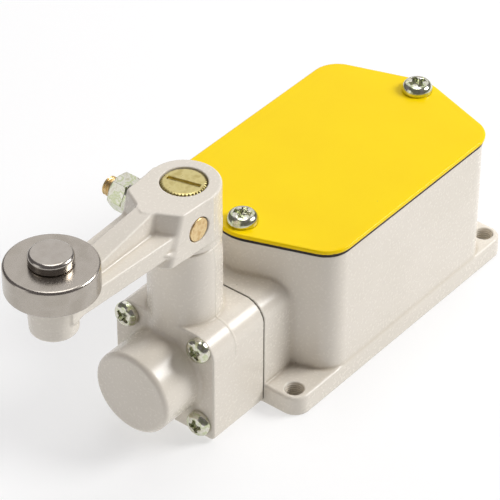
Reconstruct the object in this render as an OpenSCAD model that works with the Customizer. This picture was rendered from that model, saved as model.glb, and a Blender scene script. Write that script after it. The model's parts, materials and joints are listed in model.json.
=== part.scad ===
// Roller-lever limit switch: a cast body on a four-hole base, a bolted-on operating head,
// a clamped lever with a steel roller, and a sliding contact set inside.
// Millimetres, +Z up. The origin is the centre of the four mounting holes on the underside.
// The head and the lever point to -X, and the cable entry faces +X.

/* [Base flange] */
// Length of the base, along X
base_l = 105; // [95:1:140]
// Width of the base, along Y
base_w = 62; // [60:1:80]
// Thickness of the base flange
base_t = 6.6; // [4:0.2:9]
// Corner radius of the base flange
base_r = 5; // [2:0.5:8]
// Diameter of the mounting holes
hole_d = 5.3; // [3.4:0.1:6.6]
// From a hole's centre to the end of the base
hole_end = 4.5; // [3.5:0.1:7]
// From a hole's centre to the side of the base
hole_side = 5; // [3.5:0.1:7]

/* [Body and cover] */
// Height of the body's rim above the underside
rim_h = 48.5; // [46:0.5:60]
// Thickness of the cast walls
wall = 3.2; // [2.4:0.1:3.8]
// Thickness of the body's floor
floor_t = 4; // [3:0.2:5]
// How far the cover stands out past the cast wall
cover_lip = 0.8; // [0.2:0.1:1.5]
// Thickness of the cover plate
cover_t = 1.3; // [0.8:0.1:2]
// Thickness of the cover gasket
gasket_t = 1.2; // [0.6:0.1:2]
// Width of the cover across its long sides
cover_w = 62.4; // [60:0.2:80]
// From the front of the base to the cover's front point
tip_front = 5.3; // [4.5:0.1:8]
// From the cover's rear point to the rear of the base
tip_rear = 0.7; // [0:0.1:3]
// Depth of the cover's front point
point_front = 11.5; // [8:0.5:14]
// Depth of the cover's rear point
point_rear = 10.5; // [8:0.5:14]
// Radius of the cover's four side corners
corner_r = 9; // [7:0.5:12]
// Radius of the cover's two points
point_r = 14; // [9:0.5:18]
// Diameter of the cable entry, at the crests of its thread
entry_d = 18.4; // [14:0.2:19]
// Height of the cable entry above the underside
entry_z = 22; // [21:0.5:24]

/* [Operating head] */
// Width of the head
head_w = 36.5; // [36:0.5:42]
// Height of the head's top above the underside
head_h = 36.8; // [36:0.2:42]
// Depth of the head, along X
head_l = 22.9; // [21.5:0.1:26]
// Radius of the head's upper corners
head_r = 7; // [3:0.5:7.5]
// Gap between the head and the surface that the base stands on
head_gap = 0.6; // [0.2:0.1:1.5]
// Thickness of the gasket behind the head
seam_t = 0.3; // [0.2:0.1:1]
// Diameter of the upright shaft tube
tube_d = 21.8; // [21:0.2:25]
// Height of the shaft tube's top
tube_top = 61.6; // [58:0.2:70]
// From the head's front face back to the shaft axis
shaft_back = 9.55; // [9.3:0.05:10.5]
// Diameter of the spring boss
boss_d = 26.6; // [24:0.2:28]
// Length of the spring boss in front of the head
boss_l = 15.3; // [13:0.1:20]
// Height of the plunger axis above the underside
plunger_z = 18.8; // [18:0.1:20]

/* [Lever and roller] */
// From the shaft axis to the roller axis
lever_l = 55; // [45:0.5:80]
// Height of the lever hub
hub_h = 18.1; // [16:0.1:22]
// Diameter of the lever hub
hub_d = 21.4; // [20.4:0.2:24]
// Gap between the tube's top and the hub
hub_gap = 0.4; // [0.2:0.1:1]
// Thickness of the lever arm's side flats
arm_t = 6.3; // [4:0.1:8]
// Width of the lever arm at the hub
arm_w = 19; // [16:0.2:20]
// Width of the lever arm at the roller
arm_end_w = 15.2; // [14.8:0.2:18]
// Diameter of the roller
roller_d = 26.6; // [22:0.2:40]
// Width of the roller along its axis
roller_t = 8.6; // [6:0.1:14]
// Diameter of the roller pin
roller_pin_d = 8; // [6:0.2:9]
// Swing of the lever to each side, in degrees
swing = 45; // [20:1:45]

/* [Shaft and crank] */
// Diameter of the shaft in its bushes
shaft_d = 11; // [9:0.2:11.4]
// Diameter of the serrated shaft end
spline_d = 13.4; // [12.8:0.1:15]
// From the shaft axis to the crank pin
crank_r = 4.5; // [3.5:0.1:4.7]
// Diameter of the crank pin
crank_pin_d = 5; // [4:0.1:5.4]
// Diameter of the plunger rod
rod_d = 8; // [6:0.2:9]

/* [Fits] */
// Radial clearance of every running fit
run_fit = 0.05; // [0.02:0.01:0.08]
// Radial clearance of a seated pin, bush or screw
seat_fit = 0.02; // [0.01:0.01:0.05]
// Side clearance of the crank pin in its slot
slot_fit = 0.16; // [0.14:0.01:0.2]
// Gap between pieces that pass each other
pass_gap = 0.4; // [0.3:0.05:0.6]

/* [Hidden] */
$fn = 64;

CAST = "#e2dbcf";
YELLOW = "#ffdc28";
RUBBER = "#26231f";
ZINC = "#c9c79a";
BRASS = "#c8ad62";
STEEL = "#a8a39b";
BRONZE = "#b08a4f";
MOULDED = "#5a3a2a";
COPPER = "#c07a4a";

x_front = -base_l / 2;
x_rear = base_l / 2;
hole_x = base_l / 2 - hole_end;
hole_y = base_w / 2 - hole_side;
cover_z = rim_h + gasket_t;
entry_pad_r = entry_d / 2 + 3;
entry_pad_l = 8.5;
entry_set = 0.4;
entry_run = 12;
gasket_in = 0.5;
in_wall = cover_lip + wall;

// The head sits in front of its gasket, and the shaft axis is set back from its front face.
head_rear = x_front - seam_t;
head_front = head_rear - head_l;
shaft_x = head_front + shaft_back;
boss_end = head_front - boss_l;

// Cover screws: M5 pan heads near the cover's two points.
cover_screw_d = 5;
cover_head_d = 9.5;
cover_head_h = 3.4;
cover_screw_l = 12;
cover_screw_in = [7.2, 6.3];
pillar_under = 4;
screw_pillar_r = 5.2;
cover_screw_x = [x_front + tip_front + cover_screw_in[0], x_rear - tip_rear - cover_screw_in[1]];

// Head screws: M4 pan heads near the head's four corners.
head_screw_d = 4;
head_head_d = 7.9;
head_head_h = 3.1;
head_screw_grip = 8.5;
head_screw_y = head_w / 2 - 4.95;
head_screw_low = 5.4;
head_screw_z = [head_screw_low, head_h - 4.2];

// The crank chamber is open to the rear, and the spring bore opens into its front.
chamber_w = 18.8;
chamber_z = [9, 31.6];
chamber_front = shaft_x - 8.35;
spring_bore_r = 6.7;
boss_wall = 2.5;
bush_r = 7.5;
spring_x = boss_end + boss_wall;

// Shaft stack, from the crank up to the hub.
pin_bottom = 14.2;
disc_z = [25.2, 31];
disc_r = 8;
disc_floor = 2;
shaft_low = disc_z[0] + disc_floor;
cross_pin_z = (shaft_low + disc_z[1]) / 2;
cross_pin_r = 1.2;
washer_t = 0.6;
lower_bush_z = [chamber_z[1] + washer_t + 0.1, 43];
seal_r = (bush_r - seat_fit - shaft_d / 2 - run_fit) / 2;
upper_bush_z = [tube_top - 15.6, tube_top - 2 * seal_r - 0.4];
hub_z = tube_top + hub_gap;
lever_top = hub_z + hub_h;

// Lever heights: the flats lie below the hub's top, and the spine falls from the hub to the roller.
flat_drop = 6.2;
flat_z = lever_top - flat_drop;
arm_z = flat_z - arm_t;
skirt_h = 2.3;
pad_z = flat_z + 2;
boss_r = 7.4;
boss_low = arm_z - 5;
spine_w = 6.6;
hub_reach = 13;
nose_reach = 16.9;
spine_end = lever_l - 13.5;
roller_z = pad_z + 0.3;
roller_edge = 0.6;
pin_head_r = 6.4;
pin_head_h = 3.4;
roller_bush_r = roller_pin_d / 2 + 1.8;

// Clamp bolt: it crosses the hub in front of the shaft, and a scallop in it grips the serrations.
bolt_forward = 6.05;
bolt_z = lever_top - 8.3;
bolt_r = 3.65;
stud_r = 3;
nut_flats = 10;
nut_t = 5.8;
washer_r = 5.9;
clamp_washer_t = 2.4;
hub_side = 10.15;
washer_y = hub_d / 2 + seat_fit;
stud_end = washer_y + clamp_washer_t + nut_t + 4;
bolt_end = hub_side + 0.45;
bolt_in = 3.9;

// Screwdriver slot across the shaft's top
slot_turn = -75.6;
slot_l = 10.2;
slot_w = 1.4;
slot_deep = 1;

// Plunger: the yoke block is driven by the crank pin. The seat passes under the crank disc.
yoke_l = 10;
yoke_w = chamber_w - 2 * pass_gap;
yoke_z = [9.5, disc_z[0] - pass_gap];
slot_z = pin_bottom - 0.7;
seat_t = 3;
seat_r = disc_z[0] - plunger_z - 0.25;
seat_rear = chamber_front - 0.1;

// Contact set: a moulded base on four pads, and a carriage that slides between its rails.
pad_h = 3;
pad_r = 3.6;
base_x0 = x_front + 22.5;
contact_l = 60;
rail_l = 42;
contact_w = 44;
base_plate_z = [floor_t + pad_h, floor_t + pad_h + 4];
rail_top = 24;
rail_x0 = base_x0 + (contact_l - rail_l) / 2;
channel_w = 19;
carriage_w = channel_w - 2 * pass_gap;
carriage_x = [rail_x0 - 3, rail_x0 + 26];
carriage_z = [base_plate_z[1] + pass_gap, rail_top + 1.3];
rod_grip = 7;
carriage_pin_in = 3.5;
carriage_pin_r = 1.2;
strip_t = 1.2;
strip_z = rail_top + 0.01;
bridge_z = strip_z + strip_t + 0.15;
bridge_t = 1;
bridge_w = 27;
nc_x = rail_x0 + 7;
no_x = rail_x0 + 19;
nc_pad = 3;
no_pad = 2.4;
no_reach = 3.8;
no_bridge_l = 2.4;
strip_y = [10, 15, 21.5];
terminal_y = 18;
terminal_hole_r = 1.9;
end_wall = 3;
spring_r = 5.4;
wire_r = 0.6;
contact_screw_x = [base_x0 + 4.5, base_x0 + contact_l - 4.5];
contact_screw_y = 15;
earth_at = [x_rear - 16.5, -17];
earth_pad_r = 4.5;
// Floor left under the tapped holes, and a length that passes right through any piece
tap_floor = 1.6;
through = 60;

// ---- outlines and helpers ----

// Corners of the cover's six-sided outline, drawn in by d all round.
function hexagon(d) =
    let (half = cover_w / 2, lean_f = atan(point_front / half), lean_r = atan(point_rear / half))
    let (w = half - d)
    let (xf = x_front + tip_front + d / cos(lean_f), xr = x_rear - tip_rear - d / cos(lean_r))
    let (sf = xf + w * tan(lean_f), sr = xr - w * tan(lean_r))
    [[xf, 0], [sf, -w], [sr, -w], [xr, 0], [sr, w], [sf, w]];

function hexagon_radii(d) =
    [point_r - d, corner_r - d, corner_r - d, point_r - d, corner_r - d, corner_r - d];

function box_corners(x0, y0, x1, y1) = [[x0, y0], [x1, y0], [x1, y1], [x0, y1]];

function toward(a, b) = (b - a) / norm(b - a);

// A convex outline with each corner rounded to its own radius.
module rounded(corners, radii) {
    n = len(corners);
    turns = [
        for (i = [0:n - 1])
            let (p = corners[i], u = toward(p, corners[(i + n - 1) % n]), v = toward(p, corners[(i + 1) % n]))
            let (half = acos(u * v) / 2, reach = radii[i] / tan(half))
            [p + u * reach, p + v * reach, p + toward([0, 0], u + v) * radii[i] / sin(half)]
    ];
    polygon([for (t = turns, k = [0, 1]) t[k]]);
    for (i = [0:n - 1])
        translate(turns[i][2]) circle(radii[i]);
}

module cover_outline(d) rounded(hexagon(d), hexagon_radii(d));

// Section of the head, seen along X.
module head_section(low)
    rounded(box_corners(-head_w / 2, low, head_w / 2, head_h), [1.5, 1.5, head_r, head_r]);

// Extrudes a section drawn in (Y, Z) along +X from x0 to x1.
module along_x(x0, x1)
    translate([x0, 0, 0]) rotate([90, 0, 90]) linear_extrude(x1 - x0) children();

// A rod along X.
module rod_x(x0, x1, r, y = 0, z = plunger_z)
    translate([x0, y, z]) rotate([0, 90, 0]) cylinder(r = r, h = x1 - x0);

// A ring standing on z0.
module ring(z0, z1, r_out, r_in)
    translate([0, 0, z0]) linear_extrude(z1 - z0) difference() {
        circle(r_out);
        circle(r_in);
    }

module block(x, y, z)
    translate([x[0], y[0], z[0]]) cube([x[1] - x[0], y[1] - y[0], z[1] - z[0]]);

// Pan-head screw with a cross recess, its seat at the origin and its shank along -Z.
module pan_screw(d, head_d, head_h, length) {
    recess = 0.28 * d;
    difference() {
        cylinder(r = head_d / 2, h = head_h);
        for (a = [0, 90])
            rotate(a) translate([-0.28 * head_d, -recess / 2, 0.4 * head_h])
                cube([0.56 * head_d, recess, head_h]);
    }
    translate([0, 0, -length]) cylinder(r = tap(d), h = length);
}

// Shank and tapped-hole radii: both are drawn at the thread's root.
function tap(d) = 0.42 * d;
function tapped(d) = tap(d) + seat_fit;

// Round-wire compression spring along +X from the origin.
module coil_spring(length, r, wire, turns) {
    sides = 8;
    steps = 12 * turns;
    run = length - 2 * wire;
    points = [
        for (i = [0:steps], k = [0:sides - 1])
            let (a = 360 * turns * i / steps, b = 360 * k / sides, q = r + wire * cos(b))
            [wire + run * i / steps + wire * sin(b), q * cos(a), q * sin(a)]
    ];
    walls = [
        for (i = [0:steps - 1], k = [0:sides - 1])
            let (j = (k + 1) % sides)
            [i * sides + k, i * sides + j, (i + 1) * sides + j, (i + 1) * sides + k]
    ];
    start = [for (k = [0:sides - 1]) sides - 1 - k];
    end = [for (k = [0:sides - 1]) steps * sides + k];
    polyhedron(points, concat([start], walls, [end]));
}

// The span from a to b on one side of the middle plane: s is 1 or -1.
function side(s, a, b) = [min(s * a, s * b), max(s * a, s * b)];

module at_shaft() translate([shaft_x, 0, 0]) children();

module at_roller() translate([shaft_x - lever_l, 0, 0]) children();

// ---- body and cover ----

module body_housing() color(CAST) {
    difference() {
        union() {
            linear_extrude(base_t)
                rounded(box_corners(x_front, -base_w / 2, x_rear, base_w / 2), [for (i = [1:4]) base_r]);
            linear_extrude(rim_h) cover_outline(cover_lip);
            along_x(x_front, hexagon(cover_lip)[1][0]) head_section(0);
        }
        difference() {
            translate([0, 0, floor_t]) linear_extrude(rim_h) cover_outline(in_wall);
            for (x = cover_screw_x)
                translate([x, 0, rim_h - cover_screw_l - pillar_under])
                    cylinder(r = screw_pillar_r, h = cover_screw_l + pillar_under + 1);
            rod_x(x_rear - entry_pad_l, x_rear, entry_pad_r, z = entry_z);
            for (x = contact_screw_x, y = [-1, 1])
                translate([x, y * contact_screw_y, 0]) cylinder(r = pad_r, h = floor_t + pad_h);
            translate([earth_at[0], earth_at[1], 0]) cylinder(r = earth_pad_r, h = floor_t + pad_h);
        }
        for (x = [-1, 1], y = [-1, 1])
            translate([x * hole_x, y * hole_y, -1]) cylinder(r = hole_d / 2, h = base_t + 2);
        for (x = cover_screw_x)
            translate([x, 0, rim_h - cover_screw_l])
                cylinder(r = tapped(cover_screw_d), h = cover_screw_l + 1);
        for (y = [-1, 1], z = head_screw_z)
            rod_x(x_front - 1, x_front + head_screw_grip + 0.5, tapped(head_screw_d), y * head_screw_y, z);
        for (x = contact_screw_x, y = [-1, 1])
            translate([x, y * contact_screw_y, tap_floor]) cylinder(r = tapped(4), h = floor_t + pad_h);
        translate([earth_at[0], earth_at[1], tap_floor]) cylinder(r = tapped(4), h = floor_t + pad_h);
        rod_x(x_front - 1, hexagon(in_wall)[1][0], rod_d / 2 + 2);
        rod_x(x_rear - entry_run, x_rear + 1, entry_d / 2, z = entry_z);
    }
    // Pad round the cable entry, faced off just inside the base's end
    difference() {
        rod_x(x_rear - entry_pad_l + 0.2, x_rear - entry_set, entry_pad_r, z = entry_z);
        rod_x(x_rear - entry_run, x_rear + 1, entry_d / 2, z = entry_z);
    }
}

module cover_gasket() color(RUBBER)
    translate([0, 0, rim_h]) difference() {
        linear_extrude(gasket_t) cover_outline(gasket_in);
        difference() {
            translate([0, 0, -1]) linear_extrude(gasket_t + 2) cover_outline(in_wall);
            for (x = cover_screw_x)
                translate([x, 0, -2]) cylinder(r = screw_pillar_r, h = gasket_t + 4);
        }
        for (x = cover_screw_x)
            translate([x, 0, -1]) cylinder(r = cover_screw_d / 2, h = gasket_t + 2);
    }

module cover_plate() color(YELLOW)
    translate([0, 0, cover_z]) linear_extrude(cover_t) difference() {
        cover_outline(0);
        for (x = cover_screw_x)
            translate([x, 0]) circle(cover_screw_d / 2 + 0.2);
    }

module cover_screws() color(ZINC)
    for (x = cover_screw_x)
        translate([x, 0, cover_z + cover_t])
            pan_screw(cover_screw_d, cover_head_d, cover_head_h, cover_screw_l);

// ---- operating head ----

module head_housing() color(CAST)
    difference() {
        union() {
            along_x(head_front, head_rear) head_section(head_gap);
            rod_x(boss_end, head_front + 1, boss_d / 2);
            // Tube, with a slight cone where it meets the hub
            at_shaft() rotate_extrude()
                polygon([
                    [0, plunger_z], [tube_d / 2, plunger_z], [tube_d / 2, tube_top - 2.6],
                    [tube_d / 2 - 0.6, tube_top], [0, tube_top]
                ]);
        }
        block([chamber_front, head_rear + 1], [-chamber_w / 2, chamber_w / 2], chamber_z);
        rod_x(spring_x, chamber_front + 1, spring_bore_r);
        at_shaft() translate([0, 0, chamber_z[1] - 1]) cylinder(r = bush_r, h = tube_top);
        for (y = [-1, 1], z = head_screw_z)
            rod_x(head_front - 1, head_rear + 1, head_screw_d / 2 + 0.2, y * head_screw_y, z);
    }

module head_gasket() color(RUBBER)
    difference() {
        along_x(head_rear, x_front) head_section(head_gap);
        rod_x(head_rear - 1, x_front + 1, rod_d / 2 + 2);
        for (y = [-1, 1], z = head_screw_z)
            rod_x(head_rear - 1, x_front + 1, head_screw_d / 2 + 0.2, y * head_screw_y, z);
    }

module head_screws() color(ZINC)
    for (y = [-1, 1], z = head_screw_z)
        translate([head_front, y * head_screw_y, z]) rotate([0, -90, 0])
            pan_screw(head_screw_d, head_head_d, head_head_h, head_l + seam_t + head_screw_grip);

module upper_bush() color(BRONZE)
    at_shaft() ring(upper_bush_z[0], upper_bush_z[1], bush_r - seat_fit, shaft_d / 2 + run_fit);

module lower_bush() color(BRONZE)
    at_shaft() ring(lower_bush_z[0], lower_bush_z[1], bush_r - seat_fit, shaft_d / 2 + run_fit);

module shaft_seal() color(RUBBER)
    at_shaft() translate([0, 0, (upper_bush_z[1] + tube_top) / 2]) rotate_extrude()
        translate([shaft_d / 2 + run_fit + seal_r, 0]) circle(seal_r);

module rod_bush() color(BRONZE)
    difference() {
        rod_x(x_front, hexagon(in_wall)[0][0], rod_d / 2 + 2 - seat_fit);
        rod_x(x_front - 1, x_rear, rod_d / 2 + run_fit);
    }

// ---- lever ----

module lever_arm() color(CAST)
    at_shaft() difference() {
        union() {
            // Round skirt under the hub
            translate([0, 0, hub_z]) cylinder(r = hub_d / 2 + 0.1, h = skirt_h + 0.1);
            // Hub: round behind, with side flats that draw in to a blunt nose
            translate([0, 0, hub_z + skirt_h]) linear_extrude(hub_h - skirt_h) {
                circle(hub_d / 2);
                polygon([
                    [0, -hub_d / 2], [-hub_reach, -hub_side], [-nose_reach, -spine_w / 2],
                    [-nose_reach, spine_w / 2], [-hub_reach, hub_side], [0, hub_d / 2]
                ]);
            }
            // Flats of the arm, drawn in towards the roller
            translate([0, 0, arm_z]) linear_extrude(arm_t) {
                polygon([
                    [-hub_reach + 1, -arm_w / 2], [-hub_reach + 1, arm_w / 2],
                    [-lever_l, arm_end_w / 2], [-lever_l, -arm_end_w / 2]
                ]);
                translate([-lever_l, 0]) circle(arm_end_w / 2);
            }
            // Spine along the middle, falling from the hub's top to the roller's pad
            translate([0, spine_w / 2, 0]) rotate([90, 0, 0]) linear_extrude(spine_w)
                polygon([
                    [-nose_reach + 2, arm_z + 1], [-nose_reach + 2, lever_top],
                    [-nose_reach, lever_top], [-spine_end, pad_z], [-spine_end - 7, pad_z],
                    [-spine_end - 7, arm_z + 1]
                ]);
            // Gusset from the arm's underside down to the skirt
            translate([0, arm_w / 2, 0]) rotate([90, 0, 0]) linear_extrude(arm_w)
                polygon([
                    [-hub_reach - 2.5, arm_z], [-hub_reach - 2.5, arm_z + 1], [-5, arm_z + 1],
                    [-5, hub_z + skirt_h], [-hub_d / 2 + 0.6, hub_z + skirt_h]
                ]);
            // Boss under the roller
            translate([-lever_l, 0, boss_low]) cylinder(r = boss_r, h = pad_z - boss_low);
        }
        translate([0, 0, hub_z - 1]) cylinder(r = spline_d / 2 + seat_fit, h = hub_h + 2);
        translate([-lever_l, 0, boss_low - 1])
            cylinder(r = roller_pin_d / 2 + seat_fit, h = pad_z - boss_low + 2);
        translate([-bolt_forward, 0, bolt_z]) rotate([90, 0, 0]) {
            translate([0, 0, -bolt_in - 0.1]) cylinder(r = bolt_r + 0.1, h = through);
            cylinder(r = stud_r + 0.1, h = through, center = true);
        }
    }

module lever_shaft() color(BRASS)
    at_shaft() difference() {
        union() {
            translate([0, 0, shaft_low]) cylinder(r = shaft_d / 2, h = hub_z - shaft_low);
            translate([0, 0, hub_z]) cylinder(r = spline_d / 2, h = hub_h);
        }
        rotate(slot_turn)
            block([-slot_l / 2, slot_l / 2], [-slot_w / 2, slot_w / 2],
                  [lever_top - slot_deep, lever_top + 1]);
        translate([0, 0, cross_pin_z]) rotate([0, 90, 0])
            cylinder(r = cross_pin_r + seat_fit, h = through, center = true);
        // Notch that lets the clamp bolt reach past the edge of the serrations
        translate([-bolt_forward, 0, bolt_z]) rotate([90, 0, 0])
            cylinder(r = bolt_r + 0.1, h = through, center = true);
    }

module clamp_bolt() color(BRASS)
    at_shaft() translate([-bolt_forward, 0, bolt_z]) rotate([90, 0, 0]) {
        translate([0, 0, -bolt_in]) cylinder(r = bolt_r, h = bolt_end + bolt_in);
        translate([0, 0, -stud_end]) cylinder(r = stud_r, h = stud_end);
    }

module clamp_washer() color(ZINC)
    at_shaft() translate([-bolt_forward, washer_y, bolt_z]) rotate([-90, 0, 0])
        ring(0, clamp_washer_t, washer_r, stud_r + seat_fit);

module clamp_nut() color(ZINC)
    at_shaft() translate([-bolt_forward, washer_y + clamp_washer_t, bolt_z]) rotate([-90, 0, 0])
        difference() {
            cylinder(r = nut_flats / sqrt(3), h = nut_t, $fn = 6);
            translate([0, 0, -1]) cylinder(r = stud_r + seat_fit, h = nut_t + 2);
        }

// ---- crank ----

module crank_disc() color(STEEL)
    at_shaft() difference() {
        translate([0, 0, disc_z[0]]) cylinder(r = disc_r, h = disc_z[1] - disc_z[0]);
        translate([0, 0, disc_z[0] + disc_floor]) cylinder(r = shaft_d / 2 + seat_fit, h = through);
        translate([0, crank_r, disc_z[0] - 1]) cylinder(r = crank_pin_d / 2 + seat_fit, h = disc_floor + 2);
        translate([0, 0, cross_pin_z]) rotate([0, 90, 0])
            cylinder(r = cross_pin_r + seat_fit, h = through, center = true);
    }

module crank_pin() color(STEEL)
    at_shaft() translate([0, crank_r, pin_bottom])
        cylinder(r = crank_pin_d / 2, h = disc_z[0] + disc_floor - 0.02 - pin_bottom);

module crank_cross_pin() color(STEEL)
    at_shaft() translate([0, 0, cross_pin_z]) rotate([0, 90, 0])
        cylinder(r = cross_pin_r, h = 2 * disc_r - 0.6, center = true);

module thrust_washer() color(BRONZE)
    at_shaft() ring(disc_z[1] + 0.05, disc_z[1] + 0.05 + washer_t, bush_r - 0.4, shaft_d / 2 + run_fit);

// ---- roller ----

module roller() color(STEEL)
    at_roller() translate([0, 0, roller_z]) rotate_extrude()
        polygon([
            [roller_bush_r + seat_fit, 0], [roller_d / 2 - roller_edge, 0], [roller_d / 2, roller_edge],
            [roller_d / 2, roller_t - roller_edge], [roller_d / 2 - roller_edge, roller_t],
            [roller_bush_r + seat_fit, roller_t]
        ]);

module roller_bush() color(BRONZE)
    at_roller() ring(roller_z, roller_z + roller_t, roller_bush_r, roller_pin_d / 2 + run_fit);

module roller_pin() color(STEEL)
    at_roller() {
        translate([0, 0, roller_z + roller_t + 0.1]) cylinder(r = pin_head_r, h = pin_head_h);
        translate([0, 0, boss_low]) cylinder(r = roller_pin_d / 2, h = roller_z + roller_t + 0.2 - boss_low);
    }

// ---- plunger and springs ----

module plunger() color(STEEL)
    difference() {
        union() {
            at_shaft() block([-yoke_l / 2, yoke_l / 2], [-yoke_w / 2, yoke_w / 2], yoke_z);
            rod_x(seat_rear - seat_t + 1, shaft_x, rod_d / 2 - 1);
            rod_x(shaft_x, carriage_x[0] + rod_grip, rod_d / 2);
        }
        // Slot for the crank pin, open at the top
        at_shaft() block(
            [-crank_pin_d / 2 - slot_fit, crank_pin_d / 2 + slot_fit],
            [crank_r * cos(swing) - crank_pin_d / 2 - pass_gap, crank_r + crank_pin_d / 2 + pass_gap],
            [slot_z, disc_z[0]]
        );
        translate([carriage_x[0] + carriage_pin_in, 0, 0])
            cylinder(r = carriage_pin_r + seat_fit, h = through);
    }

module spring_seat() color(BRASS)
    difference() {
        rod_x(seat_rear - seat_t, seat_rear, seat_r);
        rod_x(seat_rear - seat_t + 1 - 0.01, seat_rear + 1, rod_d / 2 - 1 + seat_fit);
    }

module return_spring() color(STEEL)
    translate([spring_x, 0, plunger_z])
        coil_spring(seat_rear - seat_t - spring_x, spring_r, wire_r, 4);

module counter_spring() color(STEEL)
    translate([carriage_x[1], 0, plunger_z])
        coil_spring(rail_x0 + rail_l - end_wall - carriage_x[1], spring_r, wire_r, 5);

// ---- contact set ----

module carriage() color(MOULDED)
    difference() {
        block(carriage_x, [-carriage_w / 2, carriage_w / 2], carriage_z);
        rod_x(carriage_x[0] - 1, carriage_x[0] + rod_grip + 0.2, rod_d / 2 + seat_fit);
        translate([carriage_x[0] + carriage_pin_in, 0, 0])
            cylinder(r = carriage_pin_r + seat_fit, h = through);
        // Seats for the two bridges
        for (b = [[nc_x, nc_pad], [no_x, no_bridge_l]])
            block([b[0] - b[1] / 2 - seat_fit, b[0] + b[1] / 2 + seat_fit],
                  [-through, through], [bridge_z, through]);
    }

module carriage_pin() color(STEEL)
    translate([carriage_x[0] + carriage_pin_in, 0, carriage_z[0] + 0.2])
        cylinder(r = carriage_pin_r, h = carriage_z[1] - carriage_z[0] - 0.4);

module contact_bridges() color(COPPER)
    for (b = [[nc_x, nc_pad], [no_x, no_bridge_l]])
        block([b[0] - b[1] / 2, b[0] + b[1] / 2], [-bridge_w / 2, bridge_w / 2],
              [bridge_z, bridge_z + bridge_t]);

module contact_base() color(MOULDED)
    difference() {
        union() {
            block([base_x0, base_x0 + contact_l], [-contact_w / 2, contact_w / 2], base_plate_z);
            for (s = [-1, 1])
                block([rail_x0, rail_x0 + rail_l], side(s, channel_w / 2, contact_w / 2),
                      [base_plate_z[1] - 1, rail_top]);
            block([rail_x0 + rail_l - end_wall, rail_x0 + rail_l],
                  [-contact_w / 2, contact_w / 2], [base_plate_z[1] - 1, rail_top]);
        }
        for (x = contact_screw_x, y = [-1, 1])
            translate([x, y * contact_screw_y, 0]) cylinder(r = 2.2, h = through);
        for (x = [nc_x, no_x], y = [-1, 1])
            translate([x, y * terminal_y, rail_top - 7]) cylinder(r = tapped(3.5), h = through);
    }

module contact_base_screws() color(ZINC)
    for (x = contact_screw_x, y = [-1, 1])
        translate([x, y * contact_screw_y, base_plate_z[1]]) pan_screw(4, 7.9, 2.8, 9);

// A flat strip from the channel out to its terminal, with its screw hole.
module contact_strip(x, pad, s)
    difference() {
        union() {
            block([x - pad / 2, x + pad / 2], side(s, strip_y[0], strip_y[1]), [strip_z, strip_z + strip_t]);
            block([x - 3.5, x + 3.5], side(s, strip_y[1] - 0.5, strip_y[2]), [strip_z, strip_z + strip_t]);
        }
        translate([x, s * terminal_y, 0]) cylinder(r = terminal_hole_r, h = through);
    }

module nc_contacts() color(COPPER)
    for (s = [-1, 1])
        contact_strip(nc_x, nc_pad, s);

// Each normally-open strip is a fork, so the bridge meets it whichever way the lever swings.
module no_contacts() color(COPPER)
    for (s = [-1, 1]) {
        difference() {
            block([no_x - no_reach - no_pad / 2, no_x + no_reach + no_pad / 2],
                  side(s, strip_y[0], strip_y[2]), [strip_z, strip_z + strip_t]);
            block([no_x - no_reach + no_pad / 2, no_x + no_reach - no_pad / 2],
                  side(s, strip_y[0] - 1, strip_y[1]), [strip_z - 1, strip_z + 5]);
            translate([no_x, s * terminal_y, 0]) cylinder(r = terminal_hole_r, h = through);
        }
    }

module terminal_clamps() color(ZINC)
    for (x = [nc_x, no_x], s = [-1, 1])
        difference() {
            block([x - 3.2, x + 3.2], [s * terminal_y - 3.2, s * terminal_y + 3.2],
                  [strip_z + strip_t, strip_z + strip_t + 1.1]);
            translate([x, s * terminal_y, 0]) cylinder(r = terminal_hole_r, h = through);
        }

module terminal_screws() color(ZINC)
    for (x = [nc_x, no_x], s = [-1, 1])
        translate([x, s * terminal_y, strip_z + strip_t + 1.1]) pan_screw(3.5, 6.6, 2.4, 7);

module earth_screw() color(ZINC)
    translate([earth_at[0], earth_at[1], floor_t + pad_h]) pan_screw(4, 7.9, 2.8, 5);

body_housing();
cover_gasket();
cover_plate();
cover_screws();
head_housing();
head_gasket();
head_screws();
upper_bush();
lower_bush();
shaft_seal();
rod_bush();
lever_arm();
lever_shaft();
clamp_bolt();
clamp_washer();
clamp_nut();
crank_disc();
crank_pin();
crank_cross_pin();
thrust_washer();
roller();
roller_bush();
roller_pin();
plunger();
spring_seat();
return_spring();
counter_spring();
carriage();
carriage_pin();
contact_bridges();
contact_base();
contact_base_screws();
nc_contacts();
no_contacts();
terminal_clamps();
terminal_screws();
earth_screw();
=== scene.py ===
# %% [markdown]
# # Roller-lever limit switch
#
# A limit switch tells a machine that a moving part has reached a certain place. A cam pushes the
# roller, the lever turns the upright shaft, and a crank at the shaft's foot slides a plunger that
# works the contacts in the body. Outside there are three enamelled die castings (body, head and
# lever), a yellow sheet cover, plated screws, a brass shaft and a ground steel roller.
#
# The CAD model is the fixed frame: it gives every place and size. This file gives the looks.

# %% Load the frame
import json
import math
import bpy
import numpy as np
from mathutils import Matrix, Vector


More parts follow.
